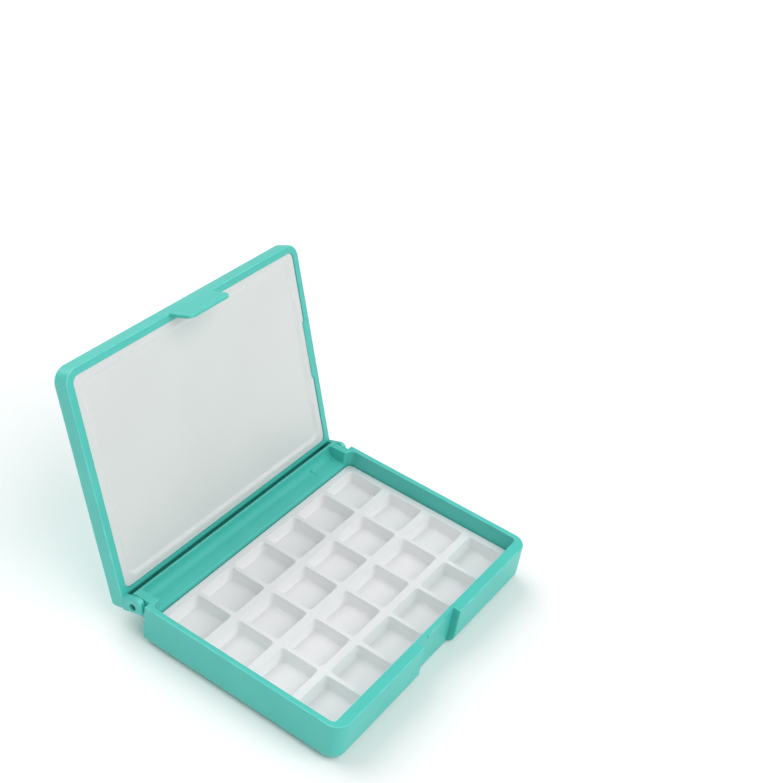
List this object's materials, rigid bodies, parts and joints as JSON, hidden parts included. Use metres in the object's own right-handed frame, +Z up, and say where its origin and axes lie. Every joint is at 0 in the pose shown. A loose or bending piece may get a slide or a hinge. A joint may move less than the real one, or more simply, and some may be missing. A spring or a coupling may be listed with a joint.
{
  "type": "folding paint palette",
  "caption": "Flat hinged paint palette case, shown open: lift-out tray of square paint wells in the base, a plain mixing plate snapped into the lid, and a moulded front latch tab.",
  "frame": {"origin": "centre of the case on the face it rests on", "axes": "+X along the hinge, +Y from the latch side to the hinge side, +Z up; drawn with the lid open on its stop"},
  "size_m": [0.14, 0.1451, 0.1117],
  "materials": {
    "case_plastic": "gloss",
    "lid_plastic": "gloss",
    "tray_plastic": "semi-gloss",
    "plate_plastic": "satin",
    "pin_steel": "satin"
  },
  "bodies": {
    "base": {"base_case": "case_plastic", "hinge_pins": "pin_steel"},
    "lid": {"lid_shell": "lid_plastic", "mixing_plate": "plate_plastic"},
    "tray": {"well_tray": "tray_plastic"}
  },
  "joints": [
    {"name": "lid_hinge", "type": "hinge", "parent": "base", "child": "lid", "pos_m": [0, 0.0486, 0.01495], "axis": [1, 0, 0], "range_deg": [0, 109.2]},
    {"name": "tray_lift", "type": "slide", "parent": "base", "child": "tray", "axis": [0, 0, 1], "range_m": [0, 0.0075]}
  ]
}
